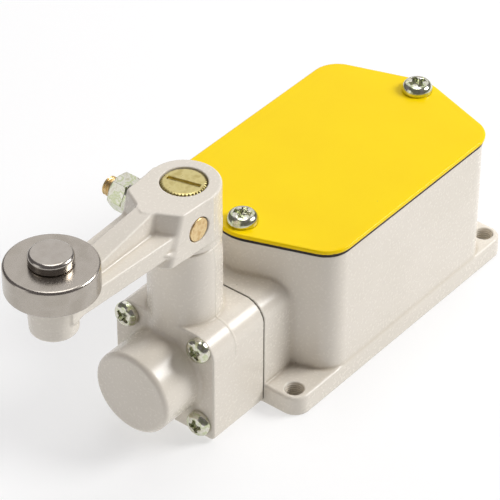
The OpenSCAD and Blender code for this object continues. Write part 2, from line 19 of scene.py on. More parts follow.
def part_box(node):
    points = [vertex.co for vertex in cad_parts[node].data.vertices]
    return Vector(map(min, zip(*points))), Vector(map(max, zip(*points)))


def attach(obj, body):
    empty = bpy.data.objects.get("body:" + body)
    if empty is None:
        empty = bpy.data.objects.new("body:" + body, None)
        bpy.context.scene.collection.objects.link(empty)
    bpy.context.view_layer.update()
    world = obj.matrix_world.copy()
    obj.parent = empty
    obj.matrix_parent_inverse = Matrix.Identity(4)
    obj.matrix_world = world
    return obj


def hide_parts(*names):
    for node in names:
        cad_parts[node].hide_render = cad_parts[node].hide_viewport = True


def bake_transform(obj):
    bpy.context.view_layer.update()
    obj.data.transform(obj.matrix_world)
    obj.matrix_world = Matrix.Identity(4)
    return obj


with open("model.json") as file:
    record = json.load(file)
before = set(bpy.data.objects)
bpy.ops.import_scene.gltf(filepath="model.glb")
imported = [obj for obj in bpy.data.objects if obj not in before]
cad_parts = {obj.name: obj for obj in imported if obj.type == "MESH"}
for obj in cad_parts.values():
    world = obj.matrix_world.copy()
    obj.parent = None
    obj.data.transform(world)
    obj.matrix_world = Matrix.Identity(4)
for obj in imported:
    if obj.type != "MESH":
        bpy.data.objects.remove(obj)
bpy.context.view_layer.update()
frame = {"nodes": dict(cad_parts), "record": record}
MM = 0.001

# %% [markdown]
# ## Sizes
#
# Every place comes from the boxes of the CAD nodes, in millimetres. A box's six numbers are enough
# to find each axis, face and edge that the looks need.

# %% Read the sizes from the CAD nodes


def span(node):
    """Lowest and highest corner of a CAD node, in mm."""
    low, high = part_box(node)
    return np.array(low) / MM, np.array(high) / MM


body_lo, body_hi = span("body_housing")
cover_lo, cover_hi = span("cover_plate")
head_lo, head_hi = span("head_housing")
seam_lo, seam_hi = span("head_gasket")
shaft_lo, shaft_hi = span("lever_shaft")
lever_lo, lever_hi = span("lever_arm")
bolt_lo, bolt_hi = span("clamp_bolt")
nut_lo, nut_hi = span("clamp_nut")
washer_lo, washer_hi = span("clamp_washer")
roller_lo, roller_hi = span("roller")
pin_lo, pin_hi = span("roller_pin")
spring_lo, spring_hi = span("return_spring")
counter_lo, counter_hi = span("counter_spring")

shaft_x = (shaft_lo[0] + shaft_hi[0]) / 2
roller_x = (roller_lo[0] + roller_hi[0]) / 2
spline_r = (shaft_hi[1] - shaft_lo[1]) / 2
plunger_z = (spring_lo[2] + spring_hi[2]) / 2
bolt_z = (bolt_lo[2] + bolt_hi[2]) / 2
bolt_x = (bolt_lo[0] + bolt_hi[0]) / 2
bolt_r = (bolt_hi[0] - bolt_lo[0]) / 2
mounts = {m["name"]: m for m in frame["record"]["mounts"]}
hole_x = mounts["mounting_holes"]["dims"]["spacing_x_mm"] / 2
hole_y = mounts["mounting_holes"]["dims"]["spacing_y_mm"] / 2
hole_r = mounts["mounting_holes"]["dims"]["hole_r_mm"]
entry_r = mounts["cable_entry"]["dims"]["r_mm"]
entry_z = mounts["cable_entry"]["pos_m"][2] / MM
print("shaft axis x", round(shaft_x, 2), "roller axis x", round(roller_x, 2), "mm")

# %% [markdown]
# ## Shaping a casting
#
# A die casting has no sharp edge: metal flows round every corner, and the tool-maker blends each
# wall into the next. Boxes joined in Blender would need a bevel on every meeting line, and bevels
# fail where three blends meet. A distance field has no such trouble. It is a function that says
# how far a point is from the surface, below zero inside. Two shapes join, meet or cut with a round
# of any radius by one line of arithmetic, and the mesh is made once, where the field is zero.

# %% Arithmetic on distance fields


def join(a, b, r=0.01):
    """Both shapes, with an inside fillet of radius r."""
    u, v = np.maximum(r - a, 0), np.maximum(r - b, 0)
    return np.maximum(r, np.minimum(a, b)) - np.hypot(u, v)


def meet(a, b, r=0.01):
    """What lies in both shapes, with an outside round of radius r."""
    return -join(-a, -b, r)


def cut(a, b, r=0.01):
    """Shape a without shape b, its new edge rounded to r."""
    return meet(a, -b, r)


def slab(t, low, high):
    """Between two parallel planes."""
    return np.maximum(low - t, t - high)


def rod(u, v, w, r, low, high, edge=0.3):
    """A cylinder along w, its ends rounded."""
    return meet(np.hypot(u, v) - r, slab(w, low, high), edge)


def outline(x, y, corners, radii):
    """A convex outline with each corner rounded to its own radius, seen along Z."""
    corners = np.array(corners, float)
    field = None
    for i, here in enumerate(corners):
        back = here - corners[i - 1]
        ahead = here - corners[(i + 1) % len(corners)]
        back, ahead = back / np.hypot(*back), ahead / np.hypot(*ahead)
        out_a, out_b = np.array([back[1], -back[0]]), np.array([-ahead[1], ahead[0]])
        half = math.acos(np.clip(-back @ ahead, -1, 1)) / 2
        middle = here - (out_a + out_b) / np.hypot(*(out_a + out_b)) * radii[i] / math.cos(half)
        px, py = x - middle[0], y - middle[1]
        wedge = np.maximum(px * out_a[0] + py * out_a[1], px * out_b[0] + py * out_b[1])
        turn = (px * back[0] + py * back[1] > 0) & (px * ahead[0] + py * ahead[1] > 0)
        corner = np.where(turn, np.hypot(px, py), wedge) - radii[i]
        field = corner if field is None else np.maximum(field, corner)
    return field


square = outline(np.array([0.0, 3.0]), np.array([0.0, 0.0]), [[-1, -1], [1, -1], [1, 1], [-1, 1]], [0.2] * 4)
print("a 2 mm square is", square.round(2), "mm from its middle and from a point 3 mm away")

# %% [markdown]
# To make the mesh, the field is sampled on a grid. Each small cell that the surface crosses gets
# one vertex, and four neighbouring cells share a face: this is known as surface nets. The vertices
# then step along the field's slope until they lie on the surface, and the slope also gives exact
# normals, so a coarse mesh still shades like polished metal.

# %% From a field to a mesh
CORNERS = np.array([(i, j, k) for i in (0, 1) for j in (0, 1) for k in (0, 1)])
EDGES = [(a, b) for a in range(8) for b in range(a, 8) if abs(CORNERS[a] - CORNERS[b]).sum() == 1]
AROUND = [(-1, -1), (0, -1), (0, 0), (-1, 0)]


def slope(field, points, reach=0.02):
    """The field's gradient at some points."""
    steps = np.eye(3) * reach
    ends = [field(*(points + s).T) - field(*(points - s).T) for s in steps]
    return np.stack(ends, 1) / (2 * reach)


def net(field, low, high, step):
    """Vertices, quads and normals of the surface where field is zero, in mm."""
    low = np.array(low, float) - 1.5 * step
    count = np.ceil((np.array(high) + 1.5 * step - low) / step).astype(int) + 1
    axes = [low[a] + step * np.arange(count[a]) for a in range(3)]
    value = np.broadcast_to(field(*np.meshgrid(*axes, indexing="ij", sparse=True)), count)
    inside = value < 0
    full = sum(inside[tuple(slice(c[a], count[a] - 1 + c[a]) for a in range(3))].astype(np.int8)
               for c in CORNERS)
    cells = np.argwhere((full > 0) & (full < 8))
    number = np.full(count - 1, -1)
    number[tuple(cells.T)] = np.arange(len(cells))
    at_corner = np.stack([value[tuple((cells + c).T)] for c in CORNERS], 1)
    total, hits = np.zeros((len(cells), 3)), np.zeros((len(cells), 1))
    for a, b in EDGES:
        va, vb = at_corner[:, a:a + 1], at_corner[:, b:b + 1]
        crossed = (va < 0) != (vb < 0)
        share = va / np.where(crossed, va - vb, 1)
        total += np.where(crossed, CORNERS[a] + share * (CORNERS[b] - CORNERS[a]), 0)
        hits += crossed
    points = low + step * (cells + total / hits)
    quads = []
    for a in range(3):
        b, c = (a + 1) % 3, (a + 2) % 3
        near, far = [slice(1, -1)] * 3, [slice(1, -1)] * 3
        near[a], far[a] = slice(0, -1), slice(1, None)
        first, second = inside[tuple(near)], inside[tuple(far)]
        for leaving in (True, False):
            here = np.argwhere((first == leaving) & (second != leaving))
            here[:, b] += 1
            here[:, c] += 1
            ring = []
            for shift_b, shift_c in AROUND if leaving else AROUND[::-1]:
                cell = here.copy()
                cell[:, b] += shift_b
                cell[:, c] += shift_c
                ring.append(number[tuple(cell.T)])
            quads.append(np.stack(ring, 1))
    for _ in range(5):
        tilt = slope(field, points)
        move = (field(*points.T) / np.maximum((tilt ** 2).sum(1), 0.04))[:, None] * tilt
        points -= np.clip(move, -step / 3, step / 3)
    normals = slope(field, points)
    return points, np.concatenate(quads), normals / np.linalg.norm(normals, axis=1)[:, None]


def solid(name, field, low, high, step, centre=(0, 0, 0)):
    """A mesh of the field in metres, with its own origin at centre (mm)."""
    points, quads, normals = net(field, low, high, step)
    mesh = bpy.data.meshes.new(name)
    mesh.vertices.add(len(points))
    mesh.vertices.foreach_set("co", ((points - centre) * MM).astype(np.float32).ravel())
    mesh.loops.add(quads.size)
    mesh.loops.foreach_set("vertex_index", quads.ravel())
    mesh.polygons.add(len(quads))
    mesh.polygons.foreach_set("loop_start", np.arange(0, quads.size, 4))
    mesh.update(calc_edges=True)
    mesh.polygons.foreach_set("use_smooth", np.ones(len(quads), bool))
    mesh.normals_split_custom_set_from_vertices(normals)
    print(f"{name}: {len(points)} vertices, {len(quads)} quads")
    return mesh


def show(mesh, finish, body, stands_for, name=None, place=None):
    """Puts a mesh in the scene as a finished piece that rides on a body."""
    piece = bpy.data.objects.new(name or mesh.name, mesh)
    bpy.context.scene.collection.objects.link(piece)
    piece.matrix_world = place or Matrix()
    if not mesh.materials:
        mesh.materials.append(finish)
    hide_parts(stands_for)
    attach(piece, body)
    return piece

# %% [markdown]
# ## Finishes
#
# One small function adds a node to a material. A value given for a socket is set on it, and a
# socket given for a socket is linked to it. Colours are written as sRGB hex values, as a paint
# chart gives them, and turned to the linear values that Blender computes with.

# %% Colour and node helpers


def paint(code):
    """Linear colour of an sRGB hex value."""
    parts = [int(code[i:i + 2], 16) / 255 for i in (0, 2, 4)]
    return [p / 12.92 if p <= 0.04045 else ((p + 0.055) / 1.055) ** 2.4 for p in parts] + [1.0]


def add(tree, kind, settings=None, inputs=None):
    """Adds a node, sets its own settings, then sets or links its inputs."""
    node = tree.nodes.new(kind)
    for key, value in (settings or {}).items():
        setattr(node, key, value)
    for key, value in (inputs or {}).items():
        if isinstance(value, bpy.types.NodeSocket):
            tree.links.new(value, node.inputs[key])
        else:
            node.inputs[key].default_value = value
    return node


def start(name, constants):
    """A new material: its node tree, its shader with those constants, and object coordinates."""
    finish = bpy.data.materials.new(name)
    finish.use_nodes = True
    tree = finish.node_tree
    tree.nodes.clear()
    shader = add(tree, "ShaderNodeBsdfPrincipled", inputs=constants)
    add(tree, "ShaderNodeOutputMaterial", inputs={"Surface": shader.outputs["BSDF"]})
    place = add(tree, "ShaderNodeTexCoord").outputs["Object"]
    return finish, tree, shader, place


def per_mm(size):
    """Texture scale for a pattern whose features are size millimetres across."""
    return 1 / (size * MM)


def ramp(tree, factor, stops):
    """Colour ramp through the given (position, colour) stops."""
    node = add(tree, "ShaderNodeValToRGB", inputs={"Fac": factor})
    marks = node.color_ramp.elements
    for mark, (position, colour) in zip(marks, stops):
        mark.position, mark.color = position, colour
    for position, colour in stops[2:]:
        marks.new(position).color = colour
    return node.outputs["Color"]


def grey(value):
    """A grey of that linear value."""
    return [value, value, value, 1.0]


print("warm grey enamel in linear light:", [round(c, 3) for c in paint("e2dbcf")])

# %% [markdown]
# ### Stoved enamel on a die casting
#
# The castings are sprayed with warm light grey enamel and baked. The coat is satin, with the faint
# orange peel of spraying, about 1.5 mm from crest to crest. Outside edges get a painted tone, a
# lighter painted highlight on the grey and a deeper yellow on the cover; inside corners get painted
# shade. Pointiness, which is how sharply the mesh bends, finds both. Paint has an IOR of about 1.5.

# %% Enamel finish


def enamel(name, colour, shade, painted_edge_tone, rough, peel):
    """Sprayed enamel: two close tones, a painted tone on outside edges and painted shade in inside corners,
    with an orange peel (mm).
    """
    finish, tree, shader, place = start(name, {"Metallic": 0.0, "IOR": 1.5})
    cloud = add(tree, "ShaderNodeTexNoise", inputs={"Vector": place, "Scale": per_mm(24), "Detail": 3.0})
    fine = add(tree, "ShaderNodeTexNoise", inputs={"Vector": place, "Scale": per_mm(0.9), "Detail": 2.0})
    tone = ramp(tree, cloud.outputs["Fac"], [(0.3, paint(shade)), (0.7, paint(colour))])
    bend = add(tree, "ShaderNodeNewGeometry").outputs["Pointiness"]
    # Painted shade: inside corners, where pointiness is low, are multiplied by a darker grey.
    painted_corner_shade = ramp(tree, bend, [(0.44, grey(1)), (0.5, grey(0))])
    corner_shaded = add(tree, "ShaderNodeMix", {"data_type": "RGBA", "blend_type": "MULTIPLY"}, {
        0: painted_corner_shade, 6: tone, 7: paint("e6e1d8")})
    # Painted highlight: outside edges, where pointiness is high, take the edge tone; lighter than the grey
    # enamel, a deeper yellow on the cover.
    edge = ramp(tree, bend, [(0.53, grey(0)), (0.6, grey(0.35))])
    edge_toned = add(tree, "ShaderNodeMix", {"data_type": "RGBA"}, {
        0: edge, 6: corner_shaded.outputs[2], 7: paint(painted_edge_tone)})
    specks = add(tree, "ShaderNodeTexVoronoi", inputs={"Vector": place, "Scale": per_mm(9)})
    dot = ramp(tree, specks.outputs["Distance"], [(0.016, grey(0.55)), (0.026, grey(0))])
    final = add(tree, "ShaderNodeMix", {"data_type": "RGBA"}, {
        0: dot, 6: edge_toned.outputs[2], 7: paint("9a8c70")})
    tree.links.new(final.outputs[2], shader.inputs["Base Color"])
    gloss = add(tree, "ShaderNodeMapRange", inputs={
        "Value": fine.outputs["Fac"], "To Min": rough - 0.04, "To Max": rough + 0.05})
    tree.links.new(gloss.outputs["Result"], shader.inputs["Roughness"])
    swell = add(tree, "ShaderNodeTexNoise", inputs={"Vector": place, "Scale": per_mm(1.5), "Detail": 1.0})
    bump = add(tree, "ShaderNodeBump", inputs={
        "Strength": 1.0, "Distance": peel * MM, "Height": swell.outputs["Fac"]})
    tree.links.new(bump.outputs["Normal"], shader.inputs["Normal"])
    return finish


# Edge tones: f2ede4 is a painted highlight on the grey castings, f2b400 a deeper yellow on the cover's
# edges.
cast_enamel = enamel("stoved_enamel_warm_grey", "e4ddd1", "dfd8cb", "f2ede4", 0.26, 0.006)
cover_enamel = enamel("gloss_enamel_yellow", "fcda00", "fad500", "f2b400", 0.2, 0.005)
cover_enamel.node_tree.nodes["Principled BSDF"].inputs["Specular IOR Level"].default_value = 0.15

# %% [markdown]
# ### Plated, turned and ground metal
#
# A metal's colour is its reflection, so its base colour is its reflectance, and its IOR is left
# alone. What tells one finish from another is the surface: plating shimmers in patches, a turned
# face has rings, sanded brass has straight scratches. One recipe takes a grain that is stretched
# along one axis, and a cloud of tints. Real scratches are finer than these 0.3 to 0.5 mm grains,
# which are as coarse as they need to be to show.

# %% Metal finish


def metal(name, tints, rough, grain, stretch, depth, patch):
    """tints run through the cloud; grain (mm) is drawn out along each axis by stretch."""
    finish, tree, shader, place = start(name, {"Metallic": 1.0})
    cloud = add(tree, "ShaderNodeTexNoise", inputs={"Vector": place, "Scale": per_mm(patch), "Detail": 4.0})
    stops = [(0.34 + 0.32 * i / (len(tints) - 1), paint(t)) for i, t in enumerate(tints)]
    tone = ramp(tree, cloud.outputs["Fac"], stops)
    tree.links.new(tone, shader.inputs["Base Color"])
    drawn = add(tree, "ShaderNodeMapping", inputs={"Vector": place, "Scale": [1 / s for s in stretch]})
    hair = add(tree, "ShaderNodeTexNoise", inputs={
        "Vector": drawn.outputs["Vector"], "Scale": per_mm(grain), "Detail": 3.0})
    gloss = add(tree, "ShaderNodeMapRange", inputs={
        "Value": hair.outputs["Fac"], "To Min": rough - 0.08, "To Max": rough + 0.1})
    tree.links.new(gloss.outputs["Result"], shader.inputs["Roughness"])
    bump = add(tree, "ShaderNodeBump", inputs={
        "Strength": 1.0, "Distance": depth * MM, "Height": hair.outputs["Fac"]})
    tree.links.new(bump.outputs["Normal"], shader.inputs["Normal"])
    return finish


# Yellow-green passivated zinc: the chromate film is thin enough to show interference tints.
zinc = metal("passivated_zinc_plate", ["c9c6b0", "dddbd0", "c3caa4", "e4e2d8"],
             0.17, 0.5, (1, 1, 1), 0.002, 2.4)
# Brass faced on a lathe and then linished: scratches run one way.
brass = metal("linished_brass", ["c2b274", "d6c98e", "c8b878"], 0.3, 0.35, (9, 1, 1), 0.004, 3)
# The bolt's cut end shows the redder brass under its skin.
cut_brass = metal("sawn_brass", ["d8b884", "e8d0a0", "d2ae78"], 0.34, 0.3, (1, 1, 7), 0.004, 2)
# Cylindrically ground steel, slightly stained by oil.
ground_steel = metal("ground_steel", ["aaa399", "b4ada4", "aea79d"], 0.24, 0.4, (1, 1, 1), 0.003, 7)
polished_steel = metal("turned_steel", ["b0a9a0", "bab4ac"], 0.2, 0.4, (1, 1, 1), 0.002, 4)
bronze = metal("sintered_bronze", ["9a7440", "b08a52", "8d6a3c"], 0.45, 0.3, (1, 1, 1), 0.01, 1.5)
spring_wire = metal("patented_spring_wire", ["7f8083", "93959a"], 0.28, 0.3, (6, 1, 1), 0.003, 3)
copper = metal("rolled_copper", ["b86c42", "c98257", "ad6038"], 0.3, 0.4, (1, 12, 1), 0.003, 3)

# %% [markdown]
# ### Rubber and phenolic
#
# The cover gasket is cut from black rubber sheet: matt, with a fine grain. The head gasket is the
# same rubber painted a grey-brown, the painted shade of the seam between head and body. The
# contact block is compression-moulded phenolic: brown, hard and slightly glossy, with a faint
# mottle of wood flour. Rubber's IOR is about 1.52, phenolic's about 1.63.

# %% Rubber and phenolic finishes


def moulded(name, colour, mottle, rough, ior, patch, grain, depth):
    """A moulded surface: a mottle of two tones and fine pits. patch, grain and depth are in mm."""
    finish, tree, shader, place = start(name, {"Metallic": 0.0, "IOR": ior})
    cloud = add(tree, "ShaderNodeTexNoise", inputs={"Vector": place, "Scale": per_mm(patch), "Detail": 5.0})
    tone = ramp(tree, cloud.outputs["Fac"], [(0.35, paint(colour)), (0.65, paint(mottle))])
    tree.links.new(tone, shader.inputs["Base Color"])
    pits = add(tree, "ShaderNodeTexNoise", inputs={"Vector": place, "Scale": per_mm(grain), "Detail": 2.0})
    gloss = add(tree, "ShaderNodeMapRange", inputs={
        "Value": pits.outputs["Fac"], "To Min": rough - 0.08, "To Max": rough + 0.08})
    tree.links.new(gloss.outputs["Result"], shader.inputs["Roughness"])
    bump = add(tree, "ShaderNodeBump", inputs={
        "Strength": 1.0, "Distance": depth * MM, "Height": pits.outputs["Fac"]})
    tree.links.new(bump.outputs["Normal"], shader.inputs["Normal"])
    return finish


rubber = moulded("rubber_sheet", "1d1a16", "2b2721", 0.75, 1.52, 2.5, 0.4, 0.02)
# Painted shade: the head gasket's grey-brown is the colour of the shadowed seam between head and body.
seam_shade_rubber = moulded("rubber_sheet_seam_shade", "5b564c", "6e695e", 0.8, 1.52, 2.5, 0.4, 0.02)
bare_casting = metal("machined_die_casting", ["a3a3a0", "b4b4b0"], 0.35, 0.3, (1, 1, 1), 0.004, 2)
phenolic = moulded("moulded_phenolic", "4a2a1b", "5e3723", 0.35, 1.63, 1.2, 0.6, 0.008)
print("finishes:", [m.name for m in bpy.data.materials])

# %% [markdown]
# ## Body casting
#
# The body is a box with a flat base flange. Seen from above its walls follow the six-sided cover,
# and at the front a round-shouldered block carries the operating head. Walls meet the flange and
# the block in small fillets. Inside are the pillars that the cover screws bite into.

# %% Shape of the body
COVER_POINTS = {"front": 11.5, "rear": 10.5}
SIDE_R, POINT_R = 9.0, 14.0
COVER_LIP, WALL, FLOOR = 0.8, 3.2, 4.0
HEAD_CORNER_R = 7.0
FLANGE_T, FLANGE_R = 6.6, 5.0
RIB_DEPTH, ENTRY_DEPTH = 0.22, 0.6
cover_half = cover_hi[1]


def cover_corners(inset):
    """The cover's six corners, drawn in by inset all round."""
    lean = {end: math.atan(depth / cover_half) for end, depth in COVER_POINTS.items()}
    width = cover_half - inset
    nose = {end: POINT_R / math.cos(lean[end]) - POINT_R for end in lean}
    front = cover_lo[0] - nose["front"] + inset / math.cos(lean["front"])
    rear = cover_hi[0] + nose["rear"] - inset / math.cos(lean["rear"])
    side_front = front + width * math.tan(lean["front"])
    side_rear = rear - width * math.tan(lean["rear"])
    return [(front, 0), (side_front, -width), (side_rear, -width),
            (rear, 0), (side_rear, width), (side_front, width)]


def cover_shape(x, y, inset):
    """The cover's outline as a field, drawn in by inset."""
    radii = [r - inset for r in (POINT_R, SIDE_R, SIDE_R, POINT_R, SIDE_R, SIDE_R)]
    return outline(x, y, cover_corners(inset), radii)


def head_section(y, z, low):
    """The head's section across X: a box with two round upper corners."""
    half, top = seam_hi[1], seam_hi[2]
    return outline(y, z, [(-half, low), (half, low), (half, top), (-half, top)],
                   [1.5, 1.5, HEAD_CORNER_R, HEAD_CORNER_R])


COVER_SCREW_X = (-40.0, 45.5)
# The contact block's four screw pillars, and the earth screw's
BLOCK_PILLARS = [(px, py) for px in (-25.5, 25.5) for py in (-15, 15)]
EARTH_X, EARTH_Y = 36, -17
ENTRY_INSIDE, ENTRY_START, ENTRY_RUN = 44.0, 44.4, 7.4
base_corners = [(body_lo[0], body_lo[1]), (body_hi[0], body_lo[1]),
                (body_hi[0], body_hi[1]), (body_lo[0], body_hi[1])]


def body_field(x, y, z):
    """The body: walls, flange and head block, hollowed and drilled."""
    rim = body_hi[2]
    flange = outline(x, y, base_corners, [FLANGE_R] * 4)
    flange = meet(meet(flange, z - FLANGE_T, 0.9), -z, 0.35)
    walls = meet(cover_shape(x, y, COVER_LIP), slab(z, 0.35, rim), 0.3)
    block = meet(head_section(y, z, 0.0), slab(x, body_lo[0], -20), 0.35)
    shape = join(join(walls, block, 0.7), flange, 0.5)
    # The hollow, with what stands in it
    hollow = meet(cover_shape(x, y, COVER_LIP + WALL), FLOOR - z, 1.5)
    for sx in COVER_SCREW_X:
        hollow = cut(hollow, rod(x - sx, y, z, 5.2, rim - 16, rim + 9), 0.5)
    hollow = cut(hollow, rod(y, z - entry_z, x, entry_r + 3, ENTRY_INSIDE, 60), 0.8)
    for px, py in BLOCK_PILLARS:
        hollow = cut(hollow, rod(x - px, y - py, z, 3.6, -5, 7), 0.5)
    hollow = cut(hollow, rod(x - EARTH_X, y - EARTH_Y, z, 4.5, -5, 7), 0.5)
    shape = cut(shape, hollow, 0.3)
    for hx in (-hole_x, hole_x):
        for hy in (-hole_y, hole_y):
            shape = cut(shape, np.hypot(x - hx, y - hy) - hole_r - RIB_DEPTH, 0.4)
    for sx in COVER_SCREW_X:
        shape = cut(shape, rod(x - sx, y, z, 2.15, rim - 12, rim + 9), 0.2)
    shape = cut(shape, rod(y, z - plunger_z, x, 6.0, body_lo[0] - 9, -36), 0.3)
    return cut(shape, rod(y, z - entry_z, x, entry_r + ENTRY_DEPTH, 40, 60), 0.6)


show(solid("body_cast", body_field, body_lo, body_hi, 0.6),
     cast_enamel, "housing", "body_housing")

# %% [markdown]
# ## Operating head
#
# The head is one casting: a block on four screws, the upright tube that holds the shaft's bushes,
# and a round boss that holds the return spring. The tube stands a little proud of the front face
# and runs down into the boss. The boss has a wide fillet at its root, as a casting needs where
# thick meets thin.

# %% Shape of the head
TUBE_R, BOSS_R = 10.9, 13.3
FACE_X = -75.7
SPRING_BORE_R, BUSH_BORE_R, SCREW_BORE_R = 6.7, 7.5, 2.2
HEAD_SCREW_Y, HEAD_SCREW_Z = 13.3, (5.4, 32.6)


def head_field(x, y, z):
    """The operating head: block, tube and boss, with its bores."""
    top = head_hi[2]
    block = meet(head_section(y, z, head_lo[2]), slab(x, FACE_X, head_hi[0] + 5), 0.6)
    block = meet(block, x - head_hi[0], 0.2)
    radial = np.hypot(x - shaft_x, y)
    tube = meet(radial - TUBE_R, slab(z, plunger_z, top), 0.01)
    cone = (radial - TUBE_R + 0.26 * (z - top + 2.6)) / 1.033
    tube = meet(tube, cone, 1.0)
    boss = rod(y, z - plunger_z, x, BOSS_R, head_lo[0], FACE_X + 6, 1.7)
    shape = join(join(block, tube, 0.7), boss, 1.3)
    # The flash line, where the two halves of the mould met
    shape = shape - 0.12 * np.exp(-((x - shaft_x - 0.6) / 0.28) ** 2) * (np.abs(y) > 9.5) * (z > 27)
    chamber = meet(meet(slab(x, -74.65, -40), slab(y, -9.4, 9.4), 0.2), slab(z, 9, 31.6), 0.2)
    shape = cut(shape, chamber, 0.2)
    shape = cut(shape, rod(y, z - plunger_z, x, SPRING_BORE_R, -88.5, -70, 0.5), 0.3)
    shape = cut(shape, rod(x - shaft_x, y, z, BUSH_BORE_R, 30, 90), 0.4)
    for sy in (-HEAD_SCREW_Y, HEAD_SCREW_Y):
        for sz in HEAD_SCREW_Z:
            shape = cut(shape, np.hypot(y - sy, z - sz) - SCREW_BORE_R, 0.3)
    return shape


show(solid("head_cast", head_field, head_lo, head_hi, 0.42),
     cast_enamel, "housing", "head_housing")

# %% [markdown]
# ## Lever
#
# The lever is cast in one piece. Its hub is round behind the shaft and draws in to a blunt prow,
# from which a spine runs along the middle of the arm and falls towards the roller. Flats on both
# sides of the spine make the arm wide. Walls lean a few degrees, which is the draft that lets the
# casting leave its mould.

# %% Shape of the lever
HUB_R = 10.75
FLAT_Z, ARM_Z, PAD_Z, BOSS_LOW = 73.9, 67.6, 75.9, 62.6
ROLLER_BOSS_R, PIN_BORE_R, BOLT_BORE_R = 7.4, 4.02, 3.2
lever_length = shaft_x - roller_x


def lever_field(x, y, z):
    """The lever: s runs from the shaft along the arm, side is the distance from its middle."""
    s, side = shaft_x - x, np.abs(y)
    low, top = lever_lo[2], lever_hi[2]
    # Hub: a round back, and a front part between two side walls and the prow's two faces
    back = np.hypot(s, y) - HUB_R
    walls = side + 0.055 * s - 10.85
    prow = (0.885 * s + 0.466 * side - 16.0 - 0.27 * (top - z)) / 1.036
    front = np.maximum(meet(walls, prow, 1.0), -s)
    plan = join(back, front, 0.6)
    hub = meet(plan, slab(z, low + 2.2, top), 0.7)
    skirt = rod(s, y, z, HUB_R, low, low + 6, 0.4)
    # Flats: the arm's wide plate, its sides running out on the roller's boss
    draft = 0.05 * (FLAT_Z - z)
    width = 9.4 - (s - 13.9) * 0.0486 - draft
    plate = meet(np.maximum(side - width, slab(s, 8, lever_length)), slab(z, ARM_Z, FLAT_Z), 0.6)
    # Spine: it leans in towards its top, which falls from the hub to the roller's pad
    fall = np.clip(top - (s - 16.8) * 0.148, PAD_Z, top)
    ridge = side - (2.9 + (s - 16.8) * 0.034) - 0.12 * (fall - z)
    spine = meet(meet(ridge, z - fall, 0.5), slab(s, 12, 43.5), 0.4)
    spine = meet(spine, ARM_Z + 1 - z, 0.1)
    # Gusset: the underside slopes from the arm down to the hub's skirt
    lean = (3.9 * (s - 9.85) - 5.7 * (z - 63.6)) / math.hypot(3.9, 5.7)
    gusset = meet(meet(np.maximum(side - 9.6, z - ARM_Z - 2), lean, 0.3), slab(s, 0, 20), 0.3)
    gusset = meet(gusset, low + 1.6 - z, 0.3)
    boss = meet(np.hypot(s - lever_length, y) - ROLLER_BOSS_R + draft, slab(z, BOSS_LOW, PAD_Z), 0.9)
    shape = join(join(hub, skirt, 0.3), plate, 0.9)
    shape = np.maximum(join(shape, spine, 0.8), z - top)
    shape = join(join(shape, gusset, 1.0), boss, 1.6)
    shape = cut(shape, np.hypot(s, y) - spline_r - 0.18, 0.25)
    shape = cut(shape, np.hypot(s - lever_length, y) - PIN_BORE_R, 0.2)
    shape = cut(shape, rod(x - bolt_x, z - bolt_z, y, bolt_r + 0.25, -30, 5), 0.2)
    return cut(shape, rod(x - bolt_x, z - bolt_z, y, BOLT_BORE_R, -30, 30), 0.2)


show(solid("lever_cast", lever_field, lever_lo, lever_hi, 0.4),
     cast_enamel, "lever", "lever_arm")

# %% [markdown]
# ## Cover and gasket
#
# The cover is blanked from sheet steel and enamelled yellow. The punch rolls its upper edge over
# slightly. The rubber gasket under it stops a little short of the cover's edge.

# %% Cover and gasket


def cover_field(x, y, z):
    """The cover sheet with its rolled edge and two screw holes."""
    shape = meet(cover_shape(x, y, 0), z - cover_hi[2], 0.55)
    shape = meet(shape, cover_lo[2] - z, 0.2)
    for sx in COVER_SCREW_X:
        shape = cut(shape, np.hypot(x - sx, y) - 2.7, 0.15)
    return shape


show(solid("cover_sheet", cover_field, cover_lo, cover_hi, 0.4),
     cover_enamel, "housing", "cover_plate")

# %% [markdown]
# ## Roller and its pin
#
# The roller is turned and ground from bar, with a small round on each rim. It turns on a bush, and
# a pin with a flat turned head holds it to the lever. The pin's lower end is riveted over in a
# countersink under the boss; here the shank is left plain.

# %% Roller and pin
roller_r = (roller_hi[1] - roller_lo[1]) / 2
roller_centre = (roller_x, 0, roller_lo[2])
ROLLER_BORE_R, PIN_HEAD_R, PIN_HEAD_H, PIN_R = 5.82, 6.4, 3.4, 4.0


def roller_field(x, y, z):
    """The roller: a ring with rounded rims."""
    ring = meet(np.hypot(x - roller_x, y) - roller_r, slab(z, roller_lo[2], roller_hi[2]), 1.0)
    return cut(ring, np.hypot(x - roller_x, y) - ROLLER_BORE_R, 0.3)


show(solid("roller_ring", roller_field, roller_lo, roller_hi, 0.35, roller_centre),
     ground_steel, "roller", "roller",
     place=Matrix.Translation(Vector(roller_centre) * MM))


def pin_field(x, y, z):
    """The roller's pin: a turned head on a plain shank."""
    u = x - roller_x
    head = meet(meet(np.hypot(u, y) - PIN_HEAD_R, z - pin_hi[2], 1.2), pin_hi[2] - PIN_HEAD_H - z, 0.5)
    shank = rod(u, y, z, PIN_R, pin_lo[2], pin_hi[2] - 1, 0.3)
    return join(head, shank, 0.1)


show(solid("pin_turned", pin_field, pin_lo, pin_hi, 0.3, roller_centre),
     polished_steel, "lever", "roller_pin",
     place=Matrix.Translation(Vector(roller_centre) * MM))

# %% [markdown]
# ## Shaft end
#
# The brass shaft's upper end is knurled with straight serrations that bite into the lever's bore,
# and a screwdriver slot crosses its face.

# %% Serrated shaft
TEETH, TOOTH_H, SHAFT_R = 38, 0.36, 5.5
SLOT_TURN, SLOT_W, SLOT_L = -75.6, 1.4, 10.2


